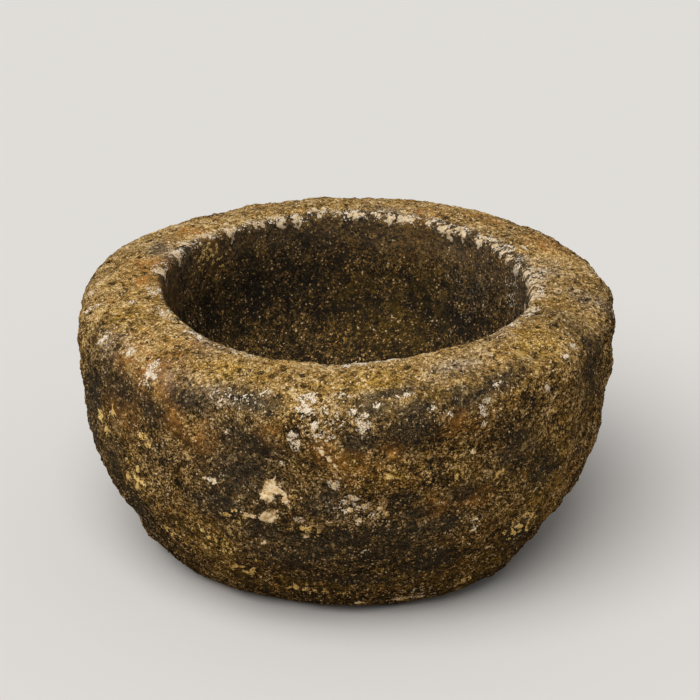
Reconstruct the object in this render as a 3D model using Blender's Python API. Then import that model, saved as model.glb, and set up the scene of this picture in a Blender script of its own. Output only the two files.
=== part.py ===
"""A hewn stone mortar, the bowl in which grain is pounded or milled by hand.

It is one block of granite: a flat foot, a swelling flank left rough from the
chisel, a broad rim with a worn crown, and a deep round cavity rubbed smooth.
Lengths are in metres and turns in degrees. +Z is up, the origin is the middle
of the foot, and a turn of 0 is +X, with 90 at +Y.
"""

import math
from collections import namedtuple

import bmesh
import bpy
import numpy as np

# Driving dimensions of the section
LIP_HEIGHT = 0.2785
BELLY_RADIUS = 0.2755
BELLY_HEIGHT = 0.239
SHOULDER_TUCK = 0.005
SHOULDER_ROUNDING = 0.023
FOOT_RADIUS = 0.1875
FOOT_LIFT = 0.016
BASE_RADIUS = 0.1665
FLANK_CURVE = 2.6
RIM_FALL = 0.011
RIM_CROWN = 0.003
LIP_ROUNDING = 0.011
MOUTH_RADIUS = 0.190
CAVITY_DEPTH = 0.185
CAVITY_CURVE = 2.5

# How far the block is out of true: a wave has so many crests round the bowl, their height, and the turn of one
Wave = namedtuple("Wave", "count height turn")
BELLY_WAVES = (Wave(1, 0.0053, 81), Wave(2, 0.0011, 150), Wave(3, 0.0035, 36))
FOOT_SHIFT = Wave(1, 0.0042, -163)
FOOT_OVAL = Wave(2, 0.0033, -59)
FOOT_CORNERS = Wave(3, 0.0047, -32)
RIM_WAVES = (Wave(1, 0.0026, -100), Wave(2, 0.0006, -60), Wave(3, 0.0025, -50))
MOUTH_WAVES = (Wave(1, 0.0017, 117), Wave(2, 0.0035, -62), Wave(3, 0.0023, 4))
SHOULDER_SOFT_SIDE = Wave(1, 0.0080, -99)

# Lumps the mason left on the flank, and hollows, whose rise is below zero
Lump = namedtuple("Lump", "turn height width rise")
LUMPS = (
    Lump(-104, 0.236, 0.035, 0.003),
    Lump(-118, 0.250, 0.028, -0.004),
    Lump(-88, 0.237, 0.022, -0.003),
    Lump(-55, 0.140, 0.045, 0.003),
    Lump(-120, 0.100, 0.045, 0.0025),
    Lump(-70, 0.190, 0.050, -0.0035),
    Lump(-100, 0.060, 0.050, -0.003),
    Lump(-8, 0.155, 0.035, -0.0016),
    Lump(-28, 0.055, 0.040, -0.0023),
    Lump(-160, 0.140, 0.040, 0.0085),
    Lump(-130, 0.030, 0.045, 0.0025),
    Lump(178, 0.230, 0.040, -0.0044),
)

# Chisel work: its depth and breadth on the flank, on the rim and in the cavity
FLANK_BROAD_DEPTH = 0.0016
FLANK_BROAD_LENGTH = 0.170
FLANK_FINE_DEPTH = 0.0018
FLANK_FINE_LENGTH = 0.060
RIM_DEPTH = 0.0008
RIM_LENGTH = 0.060
CAVITY_DEPTH_OF_WEAR = 0.0006
CAVITY_LENGTH_OF_WEAR = 0.140
FOOT_FADE_HEIGHT = 0.020
DRESSING_SEED = 2
WAVES_IN_A_PATTERN = 14

# Fineness of the mesh
SEGMENTS = 98
BASE_RINGS = 2
FOOT_RINGS = 4
FLANK_RINGS = 18
SHOULDER_RINGS = 5
RIM_RINGS = 6
LIP_RINGS = 4
CAVITY_RINGS = 15

STONE_COLOUR = (0.115, 0.075, 0.036, 1.0)
STONE_ROUGHNESS = 0.9


def clear_scene():
    """Removes whatever the file holds."""
    for thing in list(bpy.data.objects):
        bpy.data.objects.remove(thing)


def waved(size, waves, turns):
    """The size in each direction, with its waves round the bowl."""
    total = np.full_like(turns, size)
    for wave in waves:
        total += wave.height * np.cos(wave.count * (turns - math.radians(wave.turn)))
    return total


def steps(count):
    """Even steps over (0, 1], one for each ring, shaped to work with one value for each direction."""
    return np.linspace(0, 1, count + 1)[1:, None]


def rounded(start, corner, end, count):
    """Rings on a curve that leaves start and reaches end along the two sides of a corner."""
    step = steps(count)
    return [
        (1 - step) ** 2 * first + 2 * step * (1 - step) * middle + step**2 * last
        for first, middle, last in zip(start, corner, end)
    ]


def flank_radius(height, belly, foot, rim):
    """Radius of the outer side: it swells from the foot to the belly and tucks in above it."""
    below = np.clip((BELLY_HEIGHT - height) / BELLY_HEIGHT, 0, None)
    above = np.clip((height - BELLY_HEIGHT) / (rim - BELLY_HEIGHT), 0, None)
    return belly - (belly - foot) * below**FLANK_CURVE - SHOULDER_TUCK * above**2


def section(turns):
    """Radii and heights of each part's rings, from the middle of the foot over the rim to the cavity's floor."""
    belly = waved(BELLY_RADIUS, BELLY_WAVES, turns)
    foot = waved(FOOT_RADIUS, (FOOT_SHIFT, FOOT_OVAL, FOOT_CORNERS), turns)
    base = waved(BASE_RADIUS, (FOOT_SHIFT, FOOT_OVAL), turns)
    lip_top = waved(LIP_HEIGHT, RIM_WAVES, turns)
    mouth = waved(MOUTH_RADIUS, MOUTH_WAVES, turns)
    rounding = waved(SHOULDER_ROUNDING, (SHOULDER_SOFT_SIDE,), turns)
    edge_height = lip_top - RIM_FALL
    level = np.zeros_like(turns)

    def side(height):
        return flank_radius(height, belly, foot, lip_top)

    inward = steps(BASE_RINGS)
    parts = {"base": (base * inward, level * inward)}

    lifted = level + FOOT_LIFT
    corner = np.maximum(foot, base), level
    parts["foot"] = rounded((base, level), corner, (side(lifted), lifted), FOOT_RINGS)

    heights = lifted + (edge_height - rounding - lifted) * steps(FLANK_RINGS)
    parts["flank"] = side(heights), heights

    edge = side(edge_height)
    fall = RIM_FALL / (edge - mouth)
    start = side(edge_height - rounding), edge_height - rounding
    end = edge - rounding, edge_height + fall * rounding
    parts["shoulder"] = rounded(start, (edge, edge_height), end, SHOULDER_RINGS)

    across = steps(RIM_RINGS)
    lip_start = mouth + LIP_ROUNDING
    radii = end[0] + (lip_start - end[0]) * across
    crown = RIM_CROWN * 4 * across * (1 - across)
    parts["rim"] = radii, edge_height + fall * (edge - radii) + crown

    wall_top = lip_top - LIP_ROUNDING
    start = lip_start, edge_height + fall * (edge - lip_start)
    parts["lip"] = rounded(start, (mouth, lip_top), (mouth, wall_top), LIP_RINGS)

    quarter = steps(CAVITY_RINGS)[:-1] * math.pi / 2
    power = 2 / CAVITY_CURVE
    depth = wall_top - (LIP_HEIGHT - CAVITY_DEPTH)
    parts["cavity"] = mouth * np.cos(quarter) ** power, wall_top - depth * np.sin(quarter) ** power
    return parts


def undulation(points, length, seed):
    """Smooth ups and downs of about 1 high and the given length, the same in every direction."""
    chance = np.random.default_rng(seed)
    total = np.zeros(points.shape[:-1])
    for _ in range(WAVES_IN_A_PATTERN):
        way = chance.normal(size=3)
        way *= 2 * math.pi / (length * np.linalg.norm(way))
        total += np.sin(points @ way + chance.uniform(0, 2 * math.pi))
    return total / math.sqrt(WAVES_IN_A_PATTERN / 2)


def lumps_at(points):
    """Height of the mason's lumps at each point of the flank."""
    total = np.zeros(points.shape[:-1])
    for lump in LUMPS:
        turn = math.radians(lump.turn)
        middle = np.array([BELLY_RADIUS * math.cos(turn), BELLY_RADIUS * math.sin(turn), lump.height])
        away = points - middle
        out = away @ np.array([math.cos(turn), math.sin(turn), 0.0])
        distance = (away**2).sum(axis=-1) - out**2
        facing = points[..., 0] * math.cos(turn) + points[..., 1] * math.sin(turn) > 0
        total += facing * lump.rise * np.exp(-distance / lump.width**2)
    return total


def dressing_shares(name, count):
    """How much of the flank's, the rim's and the cavity's dressing each ring of one part has."""
    step = np.linspace(0, 1, count + 1)[1:]
    none, whole = 0 * step, 0 * step + 1
    return np.stack({
        "base": (none, none, none),
        "foot": (whole, none, none),
        "flank": (whole, none, none),
        "shoulder": (1 - step, step, none),
        "rim": (none, whole, none),
        "lip": (none, 1 - step, step),
        "cavity": (none, none, whole),
    }[name], axis=-1)


def relief(points, shares):
    """How far the dressing stands out of the true section at each point."""
    broad = FLANK_BROAD_DEPTH * undulation(points, FLANK_BROAD_LENGTH, DRESSING_SEED)
    fine = FLANK_FINE_DEPTH * undulation(points, FLANK_FINE_LENGTH, DRESSING_SEED + 1)
    fade = np.clip(points[..., 2] / FOOT_FADE_HEIGHT, 0, 1)
    flank = fade * (broad + fine + lumps_at(points))
    rim = RIM_DEPTH * undulation(points, RIM_LENGTH, DRESSING_SEED + 2)
    cavity = CAVITY_DEPTH_OF_WEAR * undulation(points, CAVITY_LENGTH_OF_WEAR, DRESSING_SEED + 3)
    return (np.stack([flank, rim, cavity], axis=-1) * shares[:, None]).sum(axis=-1)


def outward(radii, heights):
    """Unit normal of the section at each ring, as its radius and height parts."""
    along_radius = np.gradient(radii, axis=0)
    along_height = np.gradient(heights, axis=0)
    size = np.hypot(along_radius, along_height)
    return along_height / size, -along_radius / size


def ring_points(turns):
    """Every ring of the finished surface, from the foot to the cavity's floor."""
    parts = section(turns)
    radii = np.concatenate([part[0] for part in parts.values()])
    heights = np.concatenate([part[1] for part in parts.values()])
    shares = np.concatenate([dressing_shares(name, len(part[0])) for name, part in parts.items()])
    normal_radius, normal_height = outward(radii, heights)
    true = np.stack([radii * np.cos(turns), radii * np.sin(turns), heights], axis=-1)
    stand = relief(true, shares)
    radii = radii + stand * normal_radius
    heights = heights + stand * normal_height
    return np.stack([radii * np.cos(turns), radii * np.sin(turns), heights], axis=-1)


def stone_mesh():
    """The closed surface of the bowl."""
    turns = np.linspace(0, 2 * math.pi, SEGMENTS, endpoint=False)
    rings = ring_points(turns)
    mesh = bmesh.new()
    first = mesh.verts.new((0.0, 0.0, 0.0))
    loops = [[mesh.verts.new(point) for point in ring] for ring in rings]
    last = mesh.verts.new(rings[-1].mean(axis=0))
    for here in range(SEGMENTS):
        beside = (here + 1) % SEGMENTS
        mesh.faces.new((first, loops[0][beside], loops[0][here]))
        mesh.faces.new((last, loops[-1][here], loops[-1][beside]))
        for lower, upper in zip(loops, loops[1:]):
            mesh.faces.new((lower[here], lower[beside], upper[beside], upper[here]))
    data = bpy.data.meshes.new("stone_bowl")
    mesh.to_mesh(data)
    mesh.free()
    return data


def stone_material():
    """Weathered granite."""
    material = bpy.data.materials.new("weathered_granite")
    material.use_nodes = True
    shader = material.node_tree.nodes["Principled BSDF"]
    shader.inputs["Base Color"].default_value = STONE_COLOUR
    shader.inputs["Roughness"].default_value = STONE_ROUGHNESS
    shader.inputs["Metallic"].default_value = 0.0
    return material


def stone_bowl():
    """The bowl as one object, standing on its foot."""
    data = stone_mesh()
    data.materials.append(stone_material())
    data.shade_smooth()
    bowl = bpy.data.objects.new("stone_bowl", data)
    bpy.context.scene.collection.objects.link(bowl)
    return bowl


clear_scene()
stone_bowl()
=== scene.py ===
"""Dresses the hewn stone mortar: weathered granite, its crusts and stains, floor, light and camera.

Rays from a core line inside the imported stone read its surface, which is laid out again as a fine mesh and
roughened by formulas. Where the photograph shows a crust or a stain, its pixel is carried through the fitted
camera onto the stone. Lengths are in metres, but a spot's width and height are in millimetres. A turn of 0 is
+X and 90 degrees is +Y.
"""

import math
from collections import namedtuple

import bpy
import numpy as np
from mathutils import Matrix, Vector
from mathutils.bvhtree import BVHTree


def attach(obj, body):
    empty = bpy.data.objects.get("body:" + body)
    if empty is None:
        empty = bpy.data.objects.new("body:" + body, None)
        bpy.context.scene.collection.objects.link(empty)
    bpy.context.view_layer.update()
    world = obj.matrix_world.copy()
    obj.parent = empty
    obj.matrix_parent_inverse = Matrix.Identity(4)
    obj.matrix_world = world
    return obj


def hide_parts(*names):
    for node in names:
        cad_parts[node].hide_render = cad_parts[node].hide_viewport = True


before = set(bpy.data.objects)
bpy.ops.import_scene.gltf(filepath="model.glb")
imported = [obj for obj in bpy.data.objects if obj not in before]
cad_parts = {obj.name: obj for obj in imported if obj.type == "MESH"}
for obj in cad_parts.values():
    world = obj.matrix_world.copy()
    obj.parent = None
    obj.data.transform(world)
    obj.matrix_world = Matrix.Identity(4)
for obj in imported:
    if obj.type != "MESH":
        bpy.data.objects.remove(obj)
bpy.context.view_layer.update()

# The camera that was fitted to the photograph
PHOTO_SIDE = 700
FOCAL_PIXELS = 2500.0
SENSOR_MM = 36.0
CAMERA_PLACE = np.array([0.0048, -2.3565, 1.2917])
CAMERA_DIP = math.radians(24.83)

# The core line inside the stone: steps 0 to 1 run out along a quarter ellipse under the cavity, 1 to 2 climb
# into the rim, 2 to 3 fan over its top, and 3 to 5 come back.
CORE_RADIUS = 0.228
CORE_BOTTOM = 0.047
CORE_KNEE = 0.190
CORE_TOP = 0.236
LAST_STEP = 5

# How the solid's surface is read with rays, how much its facets are rounded, and over how many samples evened
READ_TURNS = 360
READ_STEPS = 320
FACET_ROUNDING = 0.75
EVEN_TURNS = 1.6
EVEN_STEPS = 0.8

# The fine mesh: a full ring's points, the radius at whose half, quarter and so on they are halved, how far
# apart rings lie, and over how much of a step or turn slopes are measured
FULL_COUNT = 960
FULL_COUNT_RADIUS = 0.24
MOST_HALVINGS = 5
RING_STEP = 0.0018
FIRST_RING_RADIUS = 0.002
SLOPE_REACH = 0.004

# Samples along the mean section, and how many at its start are searched for the first ring
SECTION_SAMPLES = 4000
FOOT_SAMPLES = 500


def core(step):
    """Where rays start at a step along the core line, and their way, as radii and heights."""
    from_end = np.minimum(step, LAST_STEP - step)
    quarter = np.clip(from_end, 0, 1) * math.pi / 2
    depth = CORE_KNEE - CORE_BOTTOM
    radius = CORE_RADIUS * np.sin(quarter)
    height = CORE_KNEE - depth * np.cos(quarter)
    height = height + np.clip(from_end - 1, 0, 1) * (CORE_TOP - CORE_KNEE)
    out_radius = np.sin(quarter) / CORE_RADIUS
    out_height = -np.cos(quarter) / depth
    size = np.hypot(out_radius, out_height)
    side = np.where(step < LAST_STEP / 2, 1, -1)
    fan = np.clip(step - 2, 0, 1) * math.pi
    over = (step > 2) & (step < 3)
    way_radius = np.where(over, np.cos(fan), side * out_radius / size)
    way_height = np.where(over, np.sin(fan), side * out_height / size)
    return radius, height, way_radius, way_height


def round_the_bowl(radius, height, turns):
    """Points from their radii, heights and turns."""
    return np.stack([radius * np.cos(turns), radius * np.sin(turns), height + 0 * turns], axis=-1)


class Solid:
    """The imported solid's triangles, for rays, and its rounded surface between their corners."""

    def __init__(self, node):
        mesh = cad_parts[node].data
        mesh.calc_loop_triangles()
        places = np.empty(len(mesh.vertices) * 3)
        mesh.vertices.foreach_get("co", places)
        places = places.reshape(-1, 3)
        corners = np.empty(len(mesh.loop_triangles) * 3, int)
        mesh.loop_triangles.foreach_get("vertices", corners)
        _, first, same = np.unique(np.round(places, 6), axis=0, return_index=True, return_inverse=True)
        self.places = places[first]
        self.corners = same.ravel()[corners].reshape(-1, 3)
        self.tree = BVHTree.FromPolygons(self.places.tolist(), self.corners.tolist())
        a, b, c = (self.places[self.corners[:, i]] for i in range(3))
        facing = np.cross(b - a, c - a)
        self.normals = np.zeros_like(self.places)
        for i in range(3):
            np.add.at(self.normals, self.corners[:, i], facing)
        self.normals /= np.linalg.norm(self.normals, axis=1)[:, None]

    def meet(self, start, way):
        """The first point on the solid along a ray, and its triangle."""
        point, _, triangle, _ = self.tree.ray_cast(Vector(start), Vector(way))
        return point, triangle

    def rounded(self, points, triangles):
        """The points moved off flat triangles towards the curve that the corners' normals give."""
        ends = self.places[self.corners[triangles]]
        normals = self.normals[self.corners[triangles]]
        edges = ends[:, 1:] - ends[:, :1]
        away = points - ends[:, 0]
        dots = np.einsum("nik,njk->nij", edges, edges)
        along = np.einsum("nik,nk->ni", edges, away)
        shares = np.linalg.solve(dots, along[..., None])[..., 0]
        shares = np.concatenate([1 - shares.sum(axis=1, keepdims=True), shares], axis=1)
        lift = np.einsum("nik,nik->ni", ends - points[:, None], normals)
        curved = (shares[..., None] * lift[..., None] * normals).sum(axis=1)
        return points + FACET_ROUNDING * curved


def read_surface(solid):
    """How far the surface lies from the core line, for each step and turn."""
    steps = np.linspace(0, LAST_STEP, READ_STEPS)
    turns = np.linspace(0, 2 * math.pi, READ_TURNS, endpoint=False)
    radius, height, way_radius, way_height = (part[:, None] for part in core(steps))
    starts = round_the_bowl(radius, height, turns).reshape(-1, 3)
    ways = round_the_bowl(way_radius, way_height, turns).reshape(-1, 3)
    met = [solid.meet(start, way) for start, way in zip(starts, ways)]
    points = np.array([point for point, _ in met])
    points = solid.rounded(points, np.array([triangle for _, triangle in met]))
    reach = ((points - starts) * ways).sum(axis=1).reshape(READ_STEPS, READ_TURNS)
    return evened(reach)


def evened(reach):
    """The reading with its facets' edges smoothed out in both directions."""
    for width, axis in ((EVEN_TURNS, 1), (EVEN_STEPS, 0)):
        edge = math.ceil(3 * width)
        weights = np.exp(-0.5 * (np.arange(-edge, edge + 1) / width) ** 2)
        weights /= weights.sum()
        padding = [(0, 0), (0, 0)]
        padding[axis] = (edge, edge)
        padded = np.pad(reach, padding, mode="wrap" if axis else "edge")
        size = reach.shape[axis]
        shifted = (np.take(padded, range(i, i + size), axis=axis) for i in range(len(weights)))
        reach = sum(weight * layer for weight, layer in zip(weights, shifted))
    return reach


def cubic_weights(part):
    """Weights of the four samples round a place, for a smooth curve through the samples."""
    return (
        ((-0.5 * part + 1) * part - 0.5) * part,
        (1.5 * part - 2.5) * part**2 + 1,
        ((-1.5 * part + 2) * part + 0.5) * part,
        (0.5 * part - 0.5) * part**2,
    )


class Surface:
    """The stone's smooth surface, as points at any step along the section and any turn."""

    def __init__(self, reach):
        self.reach = reach

    def at(self, steps, turns):
        """Points at steps and turns."""
        row = np.clip(steps, 0, LAST_STEP) * (READ_STEPS - 1) / LAST_STEP
        column = turns / (2 * math.pi) * READ_TURNS
        first_row = np.clip(np.floor(row).astype(int), 0, READ_STEPS - 2)
        first_column = np.floor(column).astype(int)
        total = 0
        for i, row_weight in enumerate(cubic_weights(row - first_row)):
            rows = np.clip(first_row + i - 1, 0, READ_STEPS - 1)
            for j, weight in enumerate(cubic_weights(column - first_column)):
                total = total + row_weight * weight * self.reach[rows, (first_column + j - 1) % READ_TURNS]
        radius, height, way_radius, way_height = core(steps)
        return round_the_bowl(radius + total * way_radius, height + total * way_height, turns)

    def section_steps(self):
        """Steps that lie evenly along the mean section, with their radii and distances."""
        steps = np.linspace(0, LAST_STEP, SECTION_SAMPLES)
        mean = self.reach.mean(axis=1)
        reach = np.interp(steps, np.linspace(0, LAST_STEP, READ_STEPS), mean)
        radius, height, way_radius, way_height = core(steps)
        radius = radius + reach * way_radius
        height = height + reach * way_height
        length = np.concatenate([[0], np.cumsum(np.hypot(np.diff(radius), np.diff(height)))])
        first = np.interp(FIRST_RING_RADIUS, radius[:FOOT_SAMPLES], length[:FOOT_SAMPLES])
        last = length[-1] - first
        even = np.linspace(first, last, round((last - first) / RING_STEP) + 1)
        return np.interp(even, length, steps), np.interp(even, length, radius), even


def halvings(radius):
    """How many times a ring's count is halved as it narrows."""
    return np.clip(np.floor(np.log2(FULL_COUNT_RADIUS / radius)), 0, MOST_HALVINGS).astype(int)


def ring_faces(start, count, next_start, next_count):
    """Faces between two rings, whose counts are equal or one twice the other, as rows of vertex numbers."""
    if count == next_count:
        here = np.arange(count)
        beside = (here + 1) % count
        return np.stack([start + here, start + beside, next_start + beside, next_start + here], axis=1)
    turned = count < next_count
    fine, coarse = (next_start, start) if turned else (start, next_start)
    few = np.arange(min(count, next_count))
    here = 2 * few
    middle = here + 1
    beside = (here + 2) % max(count, next_count)
    after = (few + 1) % len(few)
    threes = np.concatenate([
        np.stack([fine + here, fine + middle, coarse + few], axis=1),
        np.stack([fine + middle, coarse + after, coarse + few], axis=1),
        np.stack([fine + middle, fine + beside, coarse + after], axis=1),
    ])
    return threes[:, ::-1] if turned else threes


# Waves in a pattern, and by what share their lengths differ
WAVE_COUNT = 22
WAVE_SPREAD = 0.3


def undulation(points, length, seed):
    """Smooth ups and downs of about that length, the same in every direction, whose usual size is 1."""
    chance = np.random.default_rng(seed)
    total = np.zeros(len(points), np.float32)
    points = points.astype(np.float32)
    for _ in range(WAVE_COUNT):
        way = chance.normal(size=3)
        own_length = length * chance.uniform(1 - WAVE_SPREAD, 1 + WAVE_SPREAD)
        way *= 2 * math.pi / (own_length * np.linalg.norm(way))
        total += np.sin(points @ way.astype(np.float32) + np.float32(chance.uniform(0, 2 * math.pi)))
    return total / math.sqrt(WAVE_COUNT / 2)


Wave = namedtuple("Wave", "share length seed")


def waves(points, *layers):
    """The sum of several undulations, each with its share."""
    return sum(layer.share * undulation(points, layer.length, layer.seed) for layer in layers)


# Whole numbers that turn a cell's place and a seed into chance
CELL_FACTORS = np.array([73856093, 19349663, 83492791], np.uint32)
SEED_FACTOR = 7919
SEED_SHIFT = 12345
MIXES = (15, 2246822519), (13, 3266489917)
LAST_SHIFT = 16


def cell_chance(cells, seed):
    """A repeatable number from 0 to 1 for each whole-numbered cell."""
    mixed = cells.astype(np.uint32) * CELL_FACTORS
    mixed = mixed[..., 0] ^ mixed[..., 1] ^ mixed[..., 2] ^ np.uint32(seed * SEED_FACTOR + SEED_SHIFT)
    for shift, factor in MIXES:
        mixed = (mixed ^ (mixed >> np.uint32(shift))) * np.uint32(factor)
    return (mixed ^ (mixed >> np.uint32(LAST_SHIFT))).astype(np.float32) / np.float32(2**32)


# A hollow's least radius as a share of its cell, and how much more it may have
POCK_LEAST = 0.22
POCK_RANGE = 0.36


def pocks(points, size, share, seed):
    """Round hollows strewn in that share of cells: 1 in a hollow's middle, 0 outside them all."""
    scaled = points / size
    home = np.floor(scaled).astype(np.int64)
    deepest = np.zeros(len(points), np.float32)
    for neighbour in np.ndindex(3, 3, 3):
        cell = home + np.array(neighbour) - 1
        middle = cell + np.stack([cell_chance(cell, seed + i) for i in range(3)], axis=-1)
        kept = cell_chance(cell, seed + 3) < share
        reach = POCK_LEAST + POCK_RANGE * cell_chance(cell, seed + 4)
        away = ((scaled - middle) ** 2).sum(axis=-1) / reach**2
        np.maximum(deepest, kept * (1 - away), out=deepest)
    return deepest


def smooth_step(value, low, high):
    """0 up to low, 1 from high, and a smooth climb between them."""
    part = np.clip((value - low) / (high - low), 0, 1)
    return part * part * (3 - 2 * part)


# Where along the section the lip and the outer arris lie, as steps of the core line
LIP_STEP = 2.73
ARRIS_STEP = 2.20


class Layout:
    """The fine mesh's rings on the smooth surface: points, normals and faces."""

    def __init__(self, surface):
        ring_steps, ring_radii, lengths = surface.section_steps()
        counts = FULL_COUNT // 2 ** halvings(ring_radii)
        starts = np.concatenate([[0], np.cumsum(counts)])
        self.part_turn = np.concatenate([np.arange(count) / count for count in counts])
        self.length = np.repeat(lengths, counts)
        steps = np.repeat(ring_steps, counts)
        turns = self.part_turn * 2 * math.pi
        self.points = surface.at(steps, turns)
        self.normals = self.facing(surface, steps, turns)
        self.lip_length = np.interp(LIP_STEP, ring_steps, lengths)
        self.arris_length = np.interp(ARRIS_STEP, ring_steps, lengths)
        self.full_length = lengths[-1] + FIRST_RING_RADIUS
        self.threes = []
        self.fours = []
        for i in range(len(counts) - 1):
            faces = ring_faces(starts[i], counts[i], starts[i + 1], counts[i + 1])
            (self.fours if faces.shape[1] == 4 else self.threes).append(faces)
        self.close(starts[0], counts[0], 0.0, (0, 0, -1), False)
        self.close(starts[-2], counts[-1], self.full_length, (0, 0, 1), True)

    def facing(self, surface, steps, turns):
        """Unit normals of the surface, from its slopes in both directions."""
        along = surface.at(steps + SLOPE_REACH, turns) - surface.at(steps - SLOPE_REACH, turns)
        round_it = surface.at(steps, turns + SLOPE_REACH) - surface.at(steps, turns - SLOPE_REACH)
        normals = np.cross(round_it, along)
        return normals / np.linalg.norm(normals, axis=1)[:, None]

    def close(self, start, count, length, normal, last):
        """Fills the innermost ring at one end with a fan round its middle."""
        middle = len(self.points)
        ring = np.arange(start, start + count)
        self.points = np.vstack([self.points, self.points[ring].mean(axis=0)])
        self.normals = np.vstack([self.normals, normal])
        self.length = np.append(self.length, length)
        self.part_turn = np.append(self.part_turn, 0.0)
        beside = np.roll(ring, -1)
        pair = (ring, beside) if last else (beside, ring)
        self.threes.append(np.stack([np.full(count, middle), *pair], axis=1))


def pixel_way(x, y):
    """The direction in which the camera sees a pixel of the photograph."""
    ahead = np.array([0.0, math.cos(CAMERA_DIP), -math.sin(CAMERA_DIP)])
    up = np.array([0.0, math.sin(CAMERA_DIP), math.cos(CAMERA_DIP)])
    way = ahead * FOCAL_PIXELS + up * (PHOTO_SIDE / 2 - y)
    way[0] += x - PHOTO_SIDE / 2
    return way / np.linalg.norm(way)


# A crust or stain that the photograph shows: its pixel, its width and height on the stone in millimetres, and
# how many degrees it leans anticlockwise
Spot = namedtuple("Spot", "x y wide tall lean", defaults=(0,))


def spots(*rows):
    """Spots from rows of their numbers."""
    return [Spot(*row) for row in rows]


# Cream crusts on the flank
FLANK_CREAM = spots(
    (271, 488, 14, 21), (268, 496, 16, 15), (277, 490, 9, 12, 20), (284, 497, 7, 21, 22),
    (268, 517, 17, 13, -10), (274, 512, 9, 8), (246, 514, 10, 4, -25), (252, 516, 6, 4),
    (322, 452, 9, 4, -50), (329, 459, 11, 4, -50), (336, 467, 8, 3, -50), (334, 485, 5, 8),
    (352, 498, 7, 6, -15), (364, 505, 7, 5, -10), (380, 508, 6, 4), (350, 510, 5, 5), (359, 520, 6, 6),
    (473, 452, 7, 4), (475, 519, 6, 4), (473, 530, 8, 3, 25), (524, 516, 6, 3, 45), (517, 526, 7, 3, 45),
    (489, 547, 8, 3, 20), (491, 555, 4, 3), (536, 489, 7, 3, 30), (330, 522, 5, 4), (264, 543, 6, 5),
    (307, 536, 8, 4, 25), (359, 602, 13, 4), (396, 599, 9, 3), (425, 595, 12, 3, 5), (457, 586, 8, 3, 20),
    (464, 582, 8, 2, 25), (213, 480, 8, 3), (205, 478, 4, 3),
)

# Round bare places in the crusts
BARE_IN_CREAM = spots((278.5, 498, 8, 9), (268, 509, 18, 6, 10))

# Larger blots of the chalky ring on the inner lip, from left to right round its far side
LIP_CREAM = spots(
    (162, 269, 6, 12), (164, 274, 8, 18), (178, 255, 11, 19), (184, 244, 9, 14), (203, 236, 13, 11),
    (213, 223, 9, 6), (215, 231, 8, 5), (225, 224, 12, 6), (229, 231, 8, 14), (234, 229, 9, 8),
    (255, 224, 6, 8), (262, 225, 8, 6), (273, 218, 8, 7), (277, 216, 6, 5), (282, 224, 10, 12),
    (297, 220, 9, 13), (316, 210, 10, 7), (323, 209, 7, 7), (355, 214, 15, 8), (378, 214, 5, 8),
    (380, 211, 7, 5), (390, 218, 11, 10), (404, 219, 16, 10), (413, 219, 6, 8), (428, 222, 5, 7),
    (443, 229, 16, 11), (449, 236, 8, 12), (460, 229, 10, 10), (464, 234, 8, 10), (483, 237, 13, 8),
    (479, 243, 13, 11), (494, 239, 7, 9), (495, 246, 8, 12), (502, 253, 7, 12), (508, 259, 9, 12),
    (515, 272, 6, 9), (525, 273, 12, 12), (527, 282, 9, 15), (532, 287, 8, 18), (531, 294, 8, 16),
    (529, 303, 6, 18), (525, 311, 5, 16), (539, 270, 6, 6), (523, 247, 10, 6), (158, 236, 6, 4),
    (529, 284, 13, 22), (532, 297, 11, 24), (527, 310, 9, 20),
)

# Where the chalky ring's small grains are thick, all the way round
CHALK = spots(
    (156, 290, 40, 30), (166, 314, 40, 24), (164, 268, 44, 40), (178, 252, 36, 44), (190, 240, 34, 40),
    (206, 234, 34, 36), (222, 226, 40, 36), (233, 229, 30, 36), (253, 225, 30, 34), (275, 219, 30, 34),
    (297, 219, 30, 34), (318, 210, 44, 30), (352, 213, 50, 34), (378, 214, 34, 36), (402, 218, 44, 38),
    (430, 225, 42, 40), (456, 232, 46, 42), (486, 240, 44, 44), (500, 252, 36, 50), (513, 264, 38, 46),
    (526, 278, 40, 46), (532, 294, 40, 50), (525, 312, 40, 36), (512, 322, 36, 24), (480, 338, 60, 20),
    (238, 352, 60, 20), (300, 361, 80, 20), (370, 362, 90, 20), (430, 352, 60, 20), (196, 335, 40, 20),
)

# How far inside the lip the chalky ring and the cavity's dusty band lie, and their half breadths
CHALK_BAND = (-0.006, 0.0120)
DUST_BAND = (0.016, 0.030)

# Where painted shade darkens the flank downwards towards the ground, and how far the cavity's dark colour
# reaches over the far lip
GROUND_SHADE = (0.15, 0.02)
DARK_OVER_LIP = 0.010

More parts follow.
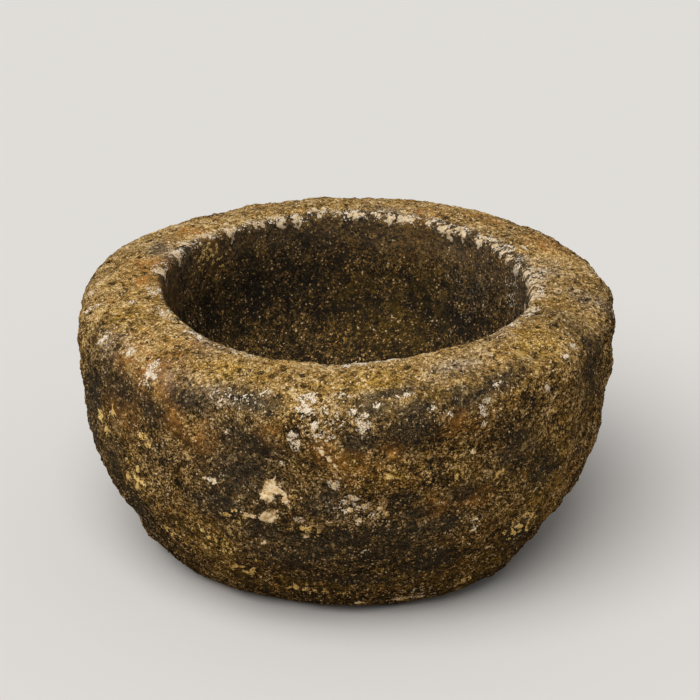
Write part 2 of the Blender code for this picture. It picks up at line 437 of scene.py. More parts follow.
# White and pinkish grains in clusters
FROST = spots(
    (305, 406, 20, 30), (310, 399, 14, 16), (292, 435, 8, 8), (298, 443, 6, 10), (316, 434, 10, 11),
    (332, 437, 8, 7), (352, 412, 10, 8), (246, 397, 8, 8), (254, 402, 8, 8), (213, 396, 8, 8),
    (226, 432, 6, 7), (222, 403, 12, 10), (262, 394, 7, 6), (153, 370, 20, 30, 30), (146, 382, 14, 14),
    (131, 351, 8, 16), (104, 338, 12, 22), (93, 307, 12, 20), (91, 292, 10, 16), (132, 302, 10, 8),
    (432, 409, 10, 9), (450, 414, 9, 6), (483, 410, 9, 18, 20), (488, 399, 10, 8, 30), (484, 424, 8, 8),
    (547, 388, 8, 14, 30), (573, 346, 12, 14), (567, 358, 9, 10), (543, 272, 12, 10), (522, 247, 10, 6),
    (340, 396, 30, 8), (352, 498, 16, 10, -15), (344, 503, 10, 8), (268, 392, 10, 5), (348, 511, 16, 6),
    (362, 507, 14, 8, 20), (372, 514, 8, 6), (358, 522, 8, 8), (292, 436, 14, 12), (295, 446, 10, 16),
    (316, 428, 12, 16), (320, 440, 16, 8), (363, 422, 16, 26), (376, 405, 10, 8), (334, 484, 12, 16),
    (212, 480, 14, 8), (406, 395, 26, 7), (280, 463, 8, 8), (366, 552, 12, 8), (497, 384, 16, 6, 15),
    (516, 270, 16, 16), (300, 520, 16, 10), (415, 596, 60, 6, 4),
)

# Where such grains are thinly strewn
THIN_FROST = spots(
    (104, 338, 34, 44, -30), (131, 352, 44, 28, -30), (150, 374, 50, 46, -30), (235, 399, 90, 20, -8),
    (322, 420, 76, 64), (362, 424, 50, 44), (352, 508, 60, 40), (487, 408, 26, 40), (91, 296, 24, 60),
    (512, 290, 40, 60), (415, 590, 90, 20), (475, 520, 24, 30),
)

# Yellow and ochre lichens
MUSTARD = spots(
    (113, 412, 20, 24), (101, 416, 18, 20), (142, 436, 20, 14, -45), (147, 444, 14, 12, -45),
    (137, 469, 14, 12), (137, 482, 14, 26), (128, 477, 10, 14), (107, 428, 14, 18), (456, 474, 11, 18),
    (500, 471, 15, 8, 25), (388, 477, 18, 7), (238, 523, 6, 7), (223, 533, 9, 6), (232, 532, 8, 6),
    (257, 560, 8, 6), (203, 544, 6, 14, 35), (224, 553, 6, 9, 30), (167, 530, 5, 14, 35),
    (160, 523, 4, 10, 35),
)

# Where small golden grains are strewn
GILT = spots(
    (215, 540, 80, 34, -30), (180, 540, 70, 30, -35), (245, 570, 90, 26, -15), (300, 588, 80, 20, -8),
    (140, 490, 24, 50, -25), (235, 515, 50, 30), (310, 530, 50, 30), (520, 525, 60, 40, 35),
    (466, 578, 60, 20, 20), (400, 598, 70, 14), (208, 256, 80, 50),
)

# Broad and soft: rust, golden and olive growth, bleached and greyer areas, paler areas, and dark stains
# together with painted shade
RUST = spots(
    (150, 372, 50, 56, -30), (167, 390, 30, 24), (149, 263, 38, 40), (148, 281, 30, 34), (191, 231, 34, 34),
    (207, 235, 26, 20), (484, 218, 44, 26), (548, 245, 50, 40), (466, 419, 44, 26), (355, 464, 40, 26),
    (326, 455, 24, 26), (285, 497, 9, 14), (474, 497, 36, 18), (437, 508, 26, 26), (205, 442, 40, 36),
    (172, 418, 34, 30), (424, 214, 26, 30), (196, 345, 18, 14), (392, 452, 30, 16), (270, 436, 24, 18),
    (340, 478, 22, 18), (128, 366, 44, 40), (120, 402, 50, 44),
)

MOSS = spots(
    (127, 317, 44, 40), (118, 325, 30, 30), (232, 372, 60, 30), (375, 380, 80, 24), (538, 342, 60, 40),
    (260, 575, 100, 26), (220, 548, 60, 40, -35), (330, 586, 120, 22), (440, 575, 90, 34, 15),
    (535, 505, 60, 80, 25), (500, 548, 60, 40, 35), (565, 440, 34, 60), (120, 470, 30, 70, -20),
    (400, 320, 90, 60), (430, 305, 60, 60), (590, 400, 30, 60), (360, 300, 50, 50), (430, 395, 26, 12),
    (456, 474, 18, 30), (388, 477, 26, 14), (345, 462, 24, 20), (500, 471, 24, 14, 25),
    (545, 490, 70, 110, 30), (490, 565, 90, 40, 25), (200, 545, 90, 40, -35), (250, 580, 100, 20, -12),
)

GREY = spots(
    (180, 385, 60, 30, -25), (215, 393, 60, 24, -10), (110, 343, 40, 34, -40), (165, 250, 56, 44, 30),
    (205, 337, 80, 26, -25), (535, 270, 50, 90), (500, 330, 60, 30, 25), (245, 400, 40, 20, -8),
    (390, 210, 60, 20), (590, 300, 40, 60), (455, 366, 90, 24, 12), (472, 292, 80, 90),
)

PALE = spots(
    (200, 430, 50, 40), (255, 535, 70, 30), (215, 552, 50, 24), (556, 402, 40, 50), (495, 292, 50, 50),
    (130, 350, 70, 26, -40), (212, 254, 90, 60), (568, 395, 50, 60), (555, 495, 40, 70),
    (240, 540, 110, 40, -25), (440, 258, 90, 40), (450, 360, 110, 22), (290, 438, 18, 16),
    (415, 232, 80, 30), (178, 330, 90, 50, -30), (504, 282, 40, 60), (190, 262, 40, 60), (305, 405, 24, 34),
    (386, 490, 34, 26), (430, 500, 50, 30), (222, 492, 30, 20), (520, 292, 50, 60), (285, 364, 110, 26),
    (425, 356, 60, 20), (405, 488, 30, 26),
)

# Dark stains, and painted shade: under the rim's arris, down the flank's shaded left and right edges, and in
# the cavity's darker parts
STAIN_AND_SHADE = spots(
    (424, 302, 80, 60), (415, 430, 50, 40), (315, 507, 30, 30), (345, 540, 60, 36), (460, 390, 50, 12, 8),
    (120, 388, 56, 46), (150, 408, 50, 30), (392, 393, 70, 12, 3), (375, 408, 44, 16), (330, 502, 40, 40),
    (415, 513, 40, 24), (395, 534, 110, 30), (520, 532, 36, 40, 30), (540, 470, 40, 40), (318, 545, 60, 40),
    (262, 404, 40, 20), (138, 505, 40, 60, -30), (92, 418, 24, 110), (118, 470, 24, 80, -25),
    (190, 402, 50, 24, -8), (246, 399, 50, 20, -5), (412, 411, 60, 18, 8), (495, 384, 96, 16, 17),
    (470, 397, 60, 24, 10), (361, 441, 36, 22), (238, 470, 84, 66), (222, 505, 60, 44), (250, 445, 70, 40),
    (404, 498, 30, 20), (518, 448, 50, 56, 10), (440, 525, 50, 26), (592, 362, 40, 80), (385, 550, 110, 44),
    (300, 552, 90, 60), (262, 530, 50, 40), (98, 380, 24, 40), (465, 325, 60, 30), (312, 298, 70, 50),
    (210, 310, 40, 50), (156, 250, 30, 14, 30), (278, 498, 7, 8), (271, 505, 9, 5), (262, 508, 14, 5),
    (505, 383, 26, 12, 17), (430, 560, 60, 40), (350, 580, 90, 20), (285, 282, 130, 80), (240, 300, 70, 60),
    (360, 300, 50, 40), (465, 492, 40, 24), (94, 400, 30, 90), (112, 460, 24, 50, -20),
)


# Points are near a spot within a share of its larger measure and a margin; soft spots fade out that fast
NEAR_SHARE = 1.6
NEAR_MARGIN = 0.004
SOFT_FALL = 0.9


def spot_distance(solid, spot, points):
    """Which points are near a spot, and how far they lie from its middle, where 1 is its edge."""
    middle, triangle = solid.meet(CAMERA_PLACE, pixel_way(spot.x, spot.y))
    middle = np.array(middle)
    normal = solid.normals[solid.corners[triangle]].mean(axis=0)
    normal /= np.linalg.norm(normal)
    turn = math.atan2(middle[1], middle[0])
    across = np.array([-math.sin(turn), math.cos(turn), 0.0])
    along = np.cross(normal, across)
    along /= np.linalg.norm(along)
    across = np.cross(along, normal)
    lean = math.radians(spot.lean)
    leant_across = math.cos(lean) * across + math.sin(lean) * along
    leant_along = math.cos(lean) * along - math.sin(lean) * across
    reach = NEAR_SHARE * (max(spot.wide, spot.tall) / 1000) + NEAR_MARGIN
    near = np.flatnonzero(((points - middle) ** 2).sum(axis=1) < reach**2)
    away = (points[near] - middle) * 1000
    return near, np.hypot(away @ leant_across / (spot.wide / 2), away @ leant_along / (spot.tall / 2))


# Ragged borders, and what strews or gathers things
BORDER_RAGS = (Wave(0.007, 0.050, 11), Wave(0.004, 0.014, 12))
CAVITY_RAG = Wave(0.0020, 0.010, 13)
CRUST_RAGS = (Wave(0.10, 0.009, 31), Wave(0.09, 0.004, 32))
LIP_CRUST_RAG = Wave(0.28, 0.006, 37)
STREWING = (Wave(0.5, 0.050, 33), Wave(0.35, 0.016, 34))
CLUMPING = Wave(0.32, 0.009, 36)


def patches(points, seed):
    """Soft patches for the unseen side, from 0 between them to 1 inside."""
    return smooth_step(waves(points, Wave(1, 0.075, seed), Wave(0.3, 0.02, seed + 50)), 0.3, 1.5)


Zones = namedtuple("Zones", "flank rim cavity")


def zones_of(layout):
    """How much each point belongs to the rough flank, the worn rim and the cavity, with ragged borders."""
    points = layout.points
    outside = layout.arris_length - layout.length + waves(points, *BORDER_RAGS)
    flank = smooth_step(outside, -0.010, 0.016)
    far = smooth_step(points[:, 1] / np.hypot(points[:, 0], points[:, 1]), -0.1, 0.5)
    inside = layout.length - layout.lip_length + DARK_OVER_LIP * far
    cavity = smooth_step(inside + waves(points, CAVITY_RAG), -0.002, 0.006)
    return Zones(flank, 1 - np.maximum(flank, cavity), cavity)


# The relief's waves, and how far out they, the dents and the pits stand in each zone
RELIEF_WAVES = (Wave(1, 0.028, 22), Wave(1, 0.012, 23), Wave(1, 0.0055, 24))
ROUGHNESS = Zones(
    flank=(0.00045, 0.00038, 0.00040, -0.0006, -0.0010),
    rim=(0.00025, 0.00028, 0.00028, 0, -0.0020),
    cavity=(0.00030, 0.00015, 0.00018, 0, -0.0003),
)
CRUST_THICKNESS = 0.00025

# Strewn hollows: the size of their cells, the share of cells that have one, and the seed
DENTS = (0.013, 0.35, 40)
PITS = (0.0080, 0.40, 50)
SMALL_PITS = (0.0048, 0.30, 60)
SMALL_PIT_DEPTH = 0.8


def relief(points, zones, cream):
    """How far the roughness stands out of the smooth surface at each point, and its pits and dents."""
    dents = pocks(points, *DENTS)
    pits = np.maximum(pocks(points, *PITS), SMALL_PIT_DEPTH * pocks(points, *SMALL_PITS))
    shapes = [waves(points, layer) for layer in RELIEF_WAVES] + [dents, pits]
    roughs = [sum(share * shape for share, shape in zip(shares, shapes)) for shares in ROUGHNESS]
    height = sum(zone * rough for zone, rough in zip(zones, roughs))
    return height + CRUST_THICKNESS * smooth_step(cream, -0.05, 0.35), pits, dents


# Crusts on the unseen side: where on the strewing waves they grow, and how fast they and bare places deepen
CREAM_FROM = 1.35
CREAM_CLIMB = 1.2
BARE_CLIMB = 1.5

# How thick white grains and lichens lie where the photograph shows them, and on the unseen side
CHALK_SHARE = 0.95
THIN_FROST_SHARE = 0.54
UNSEEN_CHALK = 0.8
UNSEEN_FROST = 0.7
MUSTARD_SHARE = 1.2
GILT_SHARE = 0.84
UNSEEN_GILT = 0.72

# Each broad wash: its spots, and the seed of its patches on the unseen side
WASHES = {
    "rust": (RUST, 41), "moss": (MOSS, 42), "stain_and_shade": (STAIN_AND_SHADE, 43), "grey": (GREY, 44), "pale": (PALE, 45),
}


class Marks:
    """Where crusts, growth and stains lie, each as one value for every point of the mesh."""

    def __init__(self, layout, solid):
        self.solid = solid
        self.points = layout.points
        self.zones = zones_of(layout)
        self.inside = layout.length - layout.lip_length
        to_camera = CAMERA_PLACE - layout.points
        to_camera /= np.linalg.norm(to_camera, axis=1)[:, None]
        self.unseen = 1 - smooth_step((layout.normals * to_camera).sum(axis=1), -0.05, 0.10)
        self.strewn = waves(self.points, *STREWING)
        self.clumps = 1 + waves(self.points, CLUMPING)

    def highest(self, table, rest, shape):
        """The highest value of a shape that every spot has, or the rest away from them."""
        field = np.full(len(self.points), rest)
        for spot in table:
            near, distance = spot_distance(self.solid, spot, self.points)
            field[near] = np.maximum(field[near], shape(distance))
        return field

    def crusts(self, table):
        """1 in the middle of the nearest spot, 0 on its edge and down to -1 away from all."""
        return self.highest(table, -1.0, lambda distance: 1 - distance)

    def soft(self, table):
        """How strongly spots with soft edges colour each point, from 0 to 1."""
        return self.highest(table, 0.0, lambda distance: np.exp(-SOFT_FALL * distance**2))

    def band(self, middle, breadth):
        """1 on a line that far inside the lip, fading out to both sides."""
        return np.exp(-(((self.inside - middle) / breadth) ** 2))

    def cream(self):
        """How deep each point lies inside a crust, 0 on its edge."""
        lip = self.crusts(LIP_CREAM) + waves(self.points, LIP_CRUST_RAG)
        cream = np.maximum(self.crusts(FLANK_CREAM), lip)
        elsewhere = (self.strewn - CREAM_FROM) * CREAM_CLIMB
        elsewhere = elsewhere - 2 * (1 - self.unseen) - 2 * self.zones.cavity
        cream = np.maximum(cream, elsewhere) + waves(self.points, *CRUST_RAGS)
        return np.minimum(cream, -BARE_CLIMB * self.crusts(BARE_IN_CREAM))

    def frost(self):
        """How thickly white grains lie, in clusters and in the chalky ring."""
        chalk = self.band(*CHALK_BAND) * np.maximum(self.soft(CHALK), UNSEEN_CHALK * self.unseen)
        elsewhere = UNSEEN_FROST * smooth_step(self.strewn, 0.9, 1.5) * self.unseen * (1 - self.zones.cavity)
        clusters = smooth_step(np.maximum(self.soft(FROST), elsewhere), 0.15, 0.75)
        frost = np.maximum(clusters, CHALK_SHARE * chalk)
        return np.maximum(frost, THIN_FROST_SHARE * self.soft(THIN_FROST)) * self.clumps

    def mustard(self):
        """How thickly lichens and small golden grains lie."""
        elsewhere = UNSEEN_GILT * patches(self.points, 35) * self.unseen * (1 - self.zones.cavity)
        gilt = np.maximum(GILT_SHARE * self.soft(GILT), elsewhere)
        return np.maximum(MUSTARD_SHARE * self.soft(MUSTARD), gilt) * self.clumps


def surface_fields(layout, solid):
    """The values that the stone's material reads, and the height of its relief."""
    marks = Marks(layout, solid)
    cream = marks.cream()
    fields = {
        "rim": marks.zones.rim,
        "cavity": marks.zones.cavity,
        "cream": np.clip(cream, -1, 1),
        "dust": marks.zones.cavity * marks.band(*DUST_BAND),
        "frost": marks.frost(),
        "mustard": marks.mustard(),
    }
    for name, (table, seed) in WASHES.items():
        fields[name] = np.maximum(marks.soft(table), patches(layout.points, seed) * marks.unseen)
    level = layout.points[:, 2]
    height, pits, dents = relief(layout.points, marks.zones, cream)
    # Painted shade, darker towards the ground outside the cavity
    fields["ground_shade"] = (marks.inside < 0) * smooth_step(level, *GROUND_SHADE)
    # Where the pits and the flank's dents lie, which get painted shade
    fields["pit"] = np.maximum(pits, 0.6 * dents * marks.zones.flank)
    return fields, height * np.where(marks.inside > 0, 1, smooth_step(level, 0.001, 0.022))


# The flat sheet for baked textures: two discs with their reach and middles, and three strips in halves, with
# the radius that sets their width and the halves' lower left corners
SHEET_SIDE = 1.18
FOOT_REACH = 0.160
FOOT_MIDDLE = (1.00, 0.18)
FLOOR_REACH = 0.120
FLOOR_MIDDLE = (0.97, 0.50)
STRIPS = (
    (0.250, ((0.01, 0.01), (0.01, 0.33))),
    (0.230, ((0.01, 0.65), (0.01, 0.76))),
    (0.165, ((0.01, 0.87), (0.55, 0.87))),
)


def disc_places(middle, away, turn, side):
    """Places on a disc of the sheet, which runs clockwise where the side is -1."""
    angle = 2 * math.pi * turn
    return np.stack([middle[0] + away * np.cos(angle), middle[1] + side * away * np.sin(angle)], axis=-1)


def sheet_places(layout, faces):
    """Where each corner of the faces lies on the sheet, from 0 to 1."""
    turn = layout.part_turn[faces]
    turn = turn + (turn.max(axis=1, keepdims=True) - turn > 0.5)
    length = layout.length[faces]
    borders = (FOOT_REACH, layout.arris_length, layout.lip_length, layout.full_length - FLOOR_REACH)
    chart = np.searchsorted(borders, length.mean(axis=1))
    half = (turn.mean(axis=1) > 0.5).astype(int)
    places = disc_places(FOOT_MIDDLE, length, turn, -1)
    on_floor = chart == len(borders)
    places[on_floor] = disc_places(FLOOR_MIDDLE, layout.full_length - length[on_floor], turn[on_floor], 1)
    for (radius, corners), start, number in zip(STRIPS, borders, (1, 2, 3)):
        on_strip = chart == number
        corner = np.array(corners)[half[on_strip]][:, None]
        across = (turn[on_strip] - 0.5 * half[on_strip, None]) * 2 * math.pi * radius
        places[on_strip] = corner + np.stack([across, length[on_strip] - start], axis=-1)
    return places.reshape(-1, 2) / SHEET_SIDE


def stone_mesh(layout, fields, height):
    """The fine mesh of the stone, with its fields as attributes."""
    points = layout.points + layout.normals * height[:, None]
    points[:, 2] = np.maximum(points[:, 2], 0)
    fours = np.concatenate(layout.fours)
    threes = np.concatenate(layout.threes)
    mesh = bpy.data.meshes.new("hewn_stone")
    mesh.vertices.add(len(points))
    mesh.vertices.foreach_set("co", points.astype(np.float32).ravel())
    mesh.loops.add(fours.size + threes.size)
    mesh.loops.foreach_set("vertex_index", np.concatenate([fours.ravel(), threes.ravel()]).astype(np.int32))
    starts = np.concatenate([np.arange(len(fours)) * 4, fours.size + np.arange(len(threes)) * 3])
    mesh.polygons.add(len(starts))
    mesh.polygons.foreach_set("loop_start", starts.astype(np.int32))
    mesh.update(calc_edges=True)
    mesh.validate()
    mesh.shade_smooth()
    sheet = np.concatenate([sheet_places(layout, fours), sheet_places(layout, threes)])
    mesh.uv_layers.new(name="OFBake").data.foreach_set("uv", sheet.astype(np.float32).ravel())
    for name, values in fields.items():
        mesh.attributes.new(name, "FLOAT", "POINT").data.foreach_set("value", values.astype(np.float32))
    return mesh


class Wiring:
    """Short calls that add and join the nodes of one material, or of the surround."""

    def __init__(self, owner, shader="Principled BSDF"):
        self.owner = owner
        owner.use_nodes = True
        self.tree = owner.node_tree
        self.shader = self.tree.nodes[shader]
        self.place = self.node("ShaderNodeTexCoord").outputs["Object"]

    def node(self, kind, inputs=None, **settings):
        """A node with its settings and its inputs."""
        made = self.tree.nodes.new(kind)
        for name, value in settings.items():
            setattr(made, name, value)
        for socket, value in (inputs or {}).items():
            self.join(value, made.inputs[socket])
        return made

    def join(self, value, socket):
        """Links an output to a socket, or sets the socket to a plain value."""
        if isinstance(value, bpy.types.NodeSocket):
            self.tree.links.new(value, socket)
        else:
            socket.default_value = value

    def maths(self, operation, first, second=0.0, third=0.0):
        """The result of one operation."""
        return self.node("ShaderNodeMath", {0: first, 1: second, 2: third}, operation=operation).outputs[0]

    def look(self, values):
        """Links or sets the shader's own sockets."""
        for name, value in values.items():
            self.join(value, self.shader.inputs[name])

    def times(self, first, second):
        """One value times another."""
        return self.maths("MULTIPLY", first, second)

    def total(self, *shares):
        """The sum of values, each times its share, from (share, value) pairs."""
        result = 0.0
        for share, value in shares:
            result = self.maths("MULTIPLY_ADD", value, share, result)
        return result

    def step(self, value, low, high):
        """A smooth climb from 0 at low to 1 at high."""
        inputs = {"Value": value, "From Min": low, "From Max": high}
        return self.node("ShaderNodeMapRange", inputs, interpolation_type="SMOOTHSTEP").outputs["Result"]

    def vectors(self, operation, *inputs):
        """The result of one operation on vectors."""
        made = self.node("ShaderNodeVectorMath", dict(enumerate(inputs)), operation=operation)
        return made.outputs["Vector"]

    def moved(self, seed):
        """The place, moved so that each pattern has its own part of the noise."""
        return self.vectors("ADD", self.place, (1.7 * seed, -2.3 * seed, 0.9 * seed))

    def noise(self, size, seed, detail=2.0, roughness=0.55):
        """Cloudy noise round 0.5, with clouds of about that size in metres."""
        inputs = {"Vector": self.moved(seed), "Scale": 1 / size, "Detail": detail, "Roughness": roughness}
        return self.node("ShaderNodeTexNoise", inputs).outputs[0]

    def crystals(self, size, seed, warp):
        """A chance from 0 to 1 for each crystal of about that size, and the distance from its middle."""
        blur = self.node("ShaderNodeTexNoise", {"Vector": self.moved(seed), "Scale": 1 / size, "Detail": 1.0})
        centred = self.vectors("SUBTRACT", blur.outputs["Color"], (0.5, 0.5, 0.5))
        warped = self.vectors("MULTIPLY_ADD", centred, (2 * warp * size,) * 3, self.moved(seed))
        cells = self.node("ShaderNodeTexVoronoi", {"Vector": warped, "Scale": 1 / size})
        parts = self.node("ShaderNodeSeparateColor", {"Color": cells.outputs["Color"]})
        return parts.outputs["Red"], cells.outputs["Distance"]

    def field(self, name):
        """One of the mesh's own fields."""
        return self.node("ShaderNodeAttribute", attribute_name=name).outputs["Fac"]

    def tones(self, value, stops):
        """The colour for a value, from (value, colour) stops."""
        made = self.node("ShaderNodeValToRGB", {"Fac": value})
        elements = made.color_ramp.elements
        elements.remove(elements[1])
        for i, (position, colour) in enumerate(stops):
            element = elements[0] if i == 0 else elements.new(position)
            element.position = position
            element.color = (*colour, 1.0)
        return made.outputs["Color"]

    def blend(self, share, first, second, way="MIX"):
        """The first colour with that share of the second laid on it."""
        made = self.node("ShaderNodeMix", data_type="RGBA", blend_type=way)
        for socket, value in ((0, share), (6, first), (7, second)):
            if isinstance(value, tuple):
                value = (*value, 1.0)
            self.join(value, made.inputs[socket])
        return made.outputs[2]


# The stone's colours
BLACK = (0.010, 0.0065, 0.003)
UMBER = (0.032, 0.020, 0.006)
BROWN = (0.075, 0.045, 0.014)
GOLDEN = (0.150, 0.088, 0.026)
OCHRE = (0.26, 0.151, 0.045)
TAN = (0.42, 0.251, 0.077)
SAND = (0.57, 0.374, 0.150)
CREAM = (0.80, 0.63, 0.39)
DUSTY = (0.085, 0.066, 0.046)

# Colours that multiply what is under them
# The first darkens both the dark stains and the painted shade
STAIN_AND_SHADE_CAST = (0.36, 0.36, 0.37)
MICA_CAST = (0.26, 0.24, 0.22)
INNER_CAST = (0.80, 0.80, 0.86)

# Colours from dark to light, each with the value at which it stands
FLANK_TONES = (
    (0.10, BLACK), (0.27, UMBER), (0.42, BROWN), (0.55, GOLDEN),
    (0.68, OCHRE), (0.80, TAN), (0.91, SAND), (1.00, CREAM),
)
RIM_TONES = (
    (0.00, UMBER), (0.12, BROWN), (0.25, GOLDEN),
    (0.42, OCHRE), (0.63, TAN), (0.86, SAND), (1.00, CREAM),
)
CAVITY_TONES = ((0.22, BLACK), (0.50, UMBER), (0.70, BROWN), (0.84, GOLDEN), (1.00, OCHRE))
HUE_CASTS = ((0.45, (0.98, 0.98, 0.98)), (0.60, (1.0, 0.96, 0.80)), (0.75, (1.0, 0.90, 0.58)))
FILM_TONES = ((0.38, (0.010, 0.008, 0.005)), (0.50, (0.038, 0.031, 0.020)), (0.62, (0.098, 0.080, 0.052)))
GROWTH_TONES = ((0.38, (0.56, 0.31, 0.060)), (0.50, (0.88, 0.57, 0.155)), (0.60, (0.97, 0.78, 0.36)))
SPARK_TONES = ((0.80, (0.26, 0.135, 0.036)), (0.88, (0.52, 0.30, 0.105)), (0.98, (0.84, 0.63, 0.36)))
FROST_TONES = ((0.35, (0.48, 0.33, 0.18)), (0.48, (0.80, 0.65, 0.46)), (0.60, (0.95, 0.86, 0.71)))
CRUST_TONES = ((0.34, (0.50, 0.30, 0.11)), (0.46, (0.84, 0.60, 0.31)), (0.62, (0.97, 0.81, 0.54)))

# What comes off the tone, and how much the mesh's fields lighten or darken it, the darkening low on the
# outside being painted shade near the ground
TONE_EXCESS = 1.87
FIELD_TONES = (("ground_shade", -0.20), ("pale", 0.15), ("dust", 0.18))
# Painted shade in the pits and dents, and how much more of it on the rim
PIT_SHADE = -0.18
MORE_PIT_SHADE_ON_RIM = -0.26
DUST_SHARE = 0.35

# Washes: the field, where the patches begin and are full, the cast and its share, the colour and its share
Wash = namedtuple("Wash", "field edge cast cast_share colour share")
RUST_WASH = Wash("rust", (0.35, 0.60), (1.0, 0.70, 0.32), 0.95, (0.46, 0.21, 0.040), 0.46)
MOSS_WASH = Wash("moss", (0.65, 0.35), (1.0, 0.96, 0.45), 0.9, (0.36, 0.21, 0.030), 0.18)
BLEACH = {"Saturation": 0.75, "Value": 0.88}
# How strongly the dark stains and painted shade darken, within the noise's patches and everywhere
STAIN_AND_SHADE_IN_PATCHES = 0.8
STAIN_AND_SHADE_EVERYWHERE = 0.5
FILM_SHARE = 0.44
LESS_IN_CAVITY = -0.38

# Strewn grains: size, seed, warp, the chances at which they set in, and the distances at which one ends
Grains = namedtuple("Grains", "size seed warp chance edge")
MICA = Grains(0.0021, 16, 0.7, (0.80, 0.82), (0.52, 0.36))
SPARKS = Grains(0.0022, 8, 0.9, (0.85, 0.87), (0.52, 0.34))
MICA_SHARE = 0.9
# Fewer bright grains under the dark stains and painted shade
LESS_IN_STAIN_AND_SHADE = -0.45

# The size, seed and warp of the grains that lichens and white grains are made of
GROWTH_GRAIN = (0.0017, 7, 0.8)
FROST_GRAIN = (0.0014, 13, 0.8)
CRUST_RAGGEDNESS = 2.2

BUMP_DEPTH = 0.0008
BUMP_STRENGTH = 0.9
STONE_SHINE = 0.15


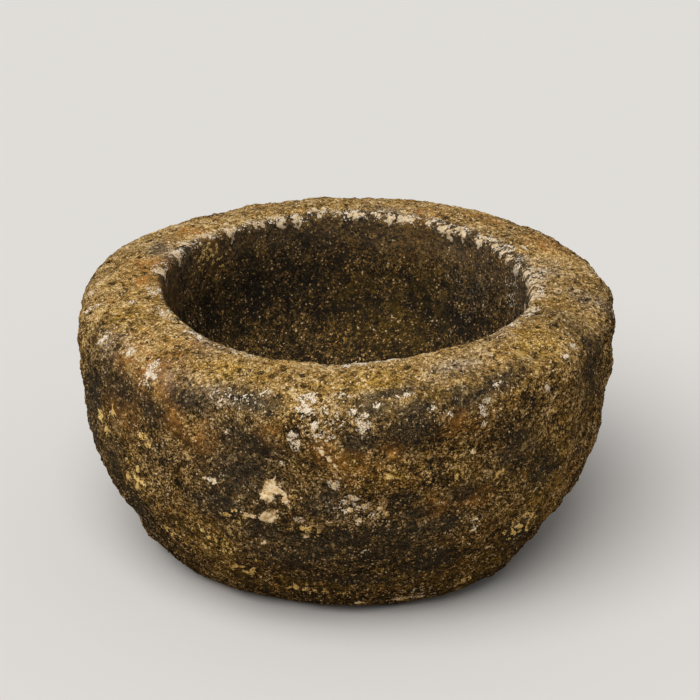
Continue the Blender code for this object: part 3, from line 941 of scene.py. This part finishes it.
class Granite(Wiring):
    """Weathered granite, whose colour is laid on layer by layer where the mesh's fields say."""

    def __init__(self):
        super().__init__(bpy.data.materials.new("weathered_granite"))
        self.large, _ = self.crystals(0.0034, 1, 0.3)
        self.small, _ = self.crystals(0.0019, 2, 0.3)
        self.haze = self.noise(0.0010, 3)
        self.clouds = self.noise(0.0065, 4)
        self.drifts = self.noise(0.016, 10)
        self.patchy = self.noise(0.012, 6, detail=4.0)
        self.rim = self.field("rim")
        self.cavity = self.field("cavity")

    def lay(self, share, colour, way="MIX"):
        """Lays that share of a colour on the stone's colour."""
        self.colour = self.blend(share, self.colour, colour, way)

    def strewn(self, kind, *clusters):
        """How much of a kind of grain is at each place, and the chance that decides it."""
        chance, middle = self.crystals(kind.size, kind.seed, kind.warp)
        chance = self.total((1.0, chance), *clusters)
        return self.times(self.step(chance, *kind.chance), self.step(middle, *kind.edge)), chance

    def bare_stone(self):
        """Mottled crystals, with painted shade in the pits and dents and near the ground, and dusty in the
        upper cavity.
        """
        tone = self.total(
            (0.25, self.large), (0.66, self.small), (1.80, self.haze), (0.65, self.clouds),
            (0.75, self.drifts), (0.60, self.noise(0.045, 5, detail=3.0)), (-TONE_EXCESS, 1.0),
        )
        # Painted shade in the pits and dents, deeper on the rim
        pit_shade = self.maths("MULTIPLY_ADD", self.rim, MORE_PIT_SHADE_ON_RIM, PIT_SHADE)
        tone = self.maths("MULTIPLY_ADD", self.step(self.field("pit"), 0.0, 0.7), pit_shade, tone)
        for name, share in FIELD_TONES:
            tone = self.maths("MULTIPLY_ADD", self.field(name), share, tone)
        outside = self.blend(self.rim, self.tones(tone, FLANK_TONES), self.tones(tone, RIM_TONES))
        self.colour = self.blend(self.cavity, outside, self.tones(tone, CAVITY_TONES))
        hue = self.total((0.6, self.noise(0.009, 11)), (0.6, self.noise(0.035, 12)))
        self.lay(1.0, self.tones(hue, HUE_CASTS), "MULTIPLY")
        self.lay(self.times(self.field("dust"), DUST_SHARE), DUSTY)

    def washes(self):
        """Rust, moss and a grey bleach, each in broad patches."""
        for wash in (RUST_WASH, MOSS_WASH):
            share = self.times(self.field(wash.field), self.step(self.patchy, *wash.edge))
            self.lay(self.times(share, wash.cast_share), wash.cast, "MULTIPLY")
            self.lay(self.times(share, wash.share), wash.colour)
        bleached = self.node("ShaderNodeHueSaturation", {"Color": self.colour, **BLEACH}).outputs["Color"]
        self.lay(self.times(self.field("grey"), self.step(self.patchy, 0.30, 0.55)), bleached)

    def stains_and_shade(self):
        """Dark stains and painted shade, with a thin greyish film outside the cavity. Gives their share."""
        field = self.field("stain_and_shade")
        in_patches = self.times(field, self.step(self.patchy, 0.20, 0.60))
        share = self.maths("MULTIPLY_ADD", in_patches, STAIN_AND_SHADE_IN_PATCHES, self.times(field, STAIN_AND_SHADE_EVERYWHERE))
        share = self.maths("MINIMUM", share, 1.0)
        self.lay(share, STAIN_AND_SHADE_CAST, "MULTIPLY")
        film = self.maths("MULTIPLY_ADD", self.cavity, LESS_IN_CAVITY, FILM_SHARE)
        self.lay(self.times(share, film), self.tones(self.haze, FILM_TONES))
        return share

    def mica_and_growth(self):
        """Dark flakes, and yellow and ochre lichens."""
        share, _ = self.strewn(MICA)
        self.lay(self.times(share, MICA_SHARE), MICA_CAST, "MULTIPLY")
        grain, _ = self.crystals(*GROWTH_GRAIN)
        edge = self.total((0.55, self.field("mustard")), (0.35, grain), (0.45, self.clouds))
        self.lay(self.step(edge, 0.91, 0.94), self.tones(self.haze, GROWTH_TONES))

    def sparks(self, stain_and_shade):
        """Bright grains, fewer under the dark stains and painted shade, and browner in the cavity."""
        share, chance = self.strewn(SPARKS, (0.35, self.drifts), (0.35, self.clouds), (-0.35, 1.0))
        share = self.times(share, self.maths("MULTIPLY_ADD", stain_and_shade, LESS_IN_STAIN_AND_SHADE, 1.0))
        glint = self.total((1.0, chance), (-0.08, self.cavity), (0.06, self.rim))
        self.lay(share, self.tones(glint, SPARK_TONES))

    def frost(self):
        """White and pinkish grains. Gives where they are."""
        grain, _ = self.crystals(*FROST_GRAIN)
        edge = self.total((0.50, self.field("frost")), (0.55, grain), (0.60, self.noise(0.0030, 15)))
        share = self.step(edge, 1.03, 1.07)
        self.lay(share, self.tones(self.haze, FROST_TONES))
        return share

    def crusts(self):
        """Cream crusts with ragged edges, duller on the rim and in the cavity. Gives where they are."""
        ragged = self.maths("SUBTRACT", self.noise(0.0022, 14, detail=3.0, roughness=0.7), 0.5)
        edge = self.maths("MULTIPLY_ADD", ragged, CRUST_RAGGEDNESS, self.field("cream"))
        share = self.step(edge, 0.0, 0.12)
        inner = self.maths("MAXIMUM", self.rim, self.cavity)
        colour = self.tones(self.noise(0.003, 9, detail=3.0), CRUST_TONES)
        self.lay(share, self.blend(inner, colour, INNER_CAST, "MULTIPLY"))
        return share


def granite():
    """The stone's material, with its layers in their order."""
    wire = Granite()
    wire.bare_stone()
    wire.washes()
    stain_and_shade = wire.stains_and_shade()
    wire.mica_and_growth()
    wire.sparks(stain_and_shade)
    frost = wire.frost()
    crust = wire.crusts()
    heights = (0.40, wire.large), (0.30, wire.small), (1.0, wire.haze), (0.35, crust), (0.5, frost)
    bump = {"Height": wire.total(*heights), "Distance": BUMP_DEPTH, "Strength": BUMP_STRENGTH}
    wire.look({
        "Base Color": wire.colour,
        "Specular IOR Level": STONE_SHINE,
        "Roughness": wire.total((0.10, wire.haze), (0.06, wire.small), (0.80, 1.0)),
        "Normal": wire.node("ShaderNodeBump", bump).outputs["Normal"],
    })
    return wire.owner


def place(name, data):
    """A new object in the scene."""
    made = bpy.data.objects.new(name, data)
    bpy.context.scene.collection.objects.link(made)
    return made


def stone():
    """The weathered bowl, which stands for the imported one."""
    solid = Solid("stone_bowl")
    layout = Layout(Surface(read_surface(solid)))
    fields, height = surface_fields(layout, solid)
    mesh = stone_mesh(layout, fields, height)
    mesh.materials.append(granite())
    made = place("weathered_stone_bowl", mesh)
    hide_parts("stone_bowl")
    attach(made, "root")


FLOOR_SIDE = 14.0
FLOOR_COLOUR = (0.70, 0.68, 0.65)
FLOOR_BOUNCE = (0.36, 0.29, 0.20)
FLOOR_ROUGHNESS = 0.95
FLOOR_SHINE = 0.1


def floor():
    """A plain pale floor, which lights the stone from below as a darker concrete floor would."""
    wire = Wiring(bpy.data.materials.new("pale_floor"))
    seen = wire.node("ShaderNodeLightPath").outputs["Is Camera Ray"]
    colour = wire.blend(seen, FLOOR_BOUNCE, FLOOR_COLOUR)
    wire.look({"Base Color": colour, "Roughness": FLOOR_ROUGHNESS, "Specular IOR Level": FLOOR_SHINE})
    half = FLOOR_SIDE / 2
    mesh = bpy.data.meshes.new("floor")
    corners = [(-half, -half, 0), (half, -half, 0), (half, half, 0), (-half, half, 0)]
    mesh.from_pydata(corners, [], [(0, 1, 2, 3)])
    mesh.materials.append(wire.owner)
    made = place("floor", mesh)


# The surround lights the stone more weakly than the camera sees it
WORLD_STRENGTH = 0.36
WORLD_STRENGTH_SEEN = 0.74
SUN_STRENGTH = 2.6
SUN_ANGLE = math.radians(55)
SUN_FROM = Vector((-0.8, -1.35, 2.6))


def light():
    """One very soft lamp from above the near left, and an even pale surround."""
    wire = Wiring(bpy.data.worlds.new("surround"), "Background")
    seen = wire.node("ShaderNodeLightPath").outputs["Is Camera Ray"]
    strengths = {"Value": seen, "To Min": WORLD_STRENGTH, "To Max": WORLD_STRENGTH_SEEN}
    strength = wire.node("ShaderNodeMapRange", strengths).outputs["Result"]
    wire.look({"Strength": strength, "Color": (1.0, 1.0, 1.0, 1.0)})
    bpy.context.scene.world = wire.owner
    lamp = bpy.data.lights.new("soft_lamp", "SUN")
    lamp.energy = SUN_STRENGTH
    lamp.angle = SUN_ANGLE
    made = place("soft_lamp", lamp)
    made.location = SUN_FROM
    made.rotation_euler = SUN_FROM.to_track_quat("Z", "Y").to_euler()


def camera():
    """The camera where the photograph's was."""
    lens = bpy.data.cameras.new("camera")
    lens.sensor_width = SENSOR_MM
    lens.lens = FOCAL_PIXELS / PHOTO_SIDE * SENSOR_MM
    made = place("camera", lens)
    made.location = CAMERA_PLACE
    made.rotation_euler = (math.pi / 2 - CAMERA_DIP, 0, 0)
    bpy.context.scene.camera = made


camera()
stone()
floor()
light()
bpy.context.scene.view_settings.view_transform = "Standard"
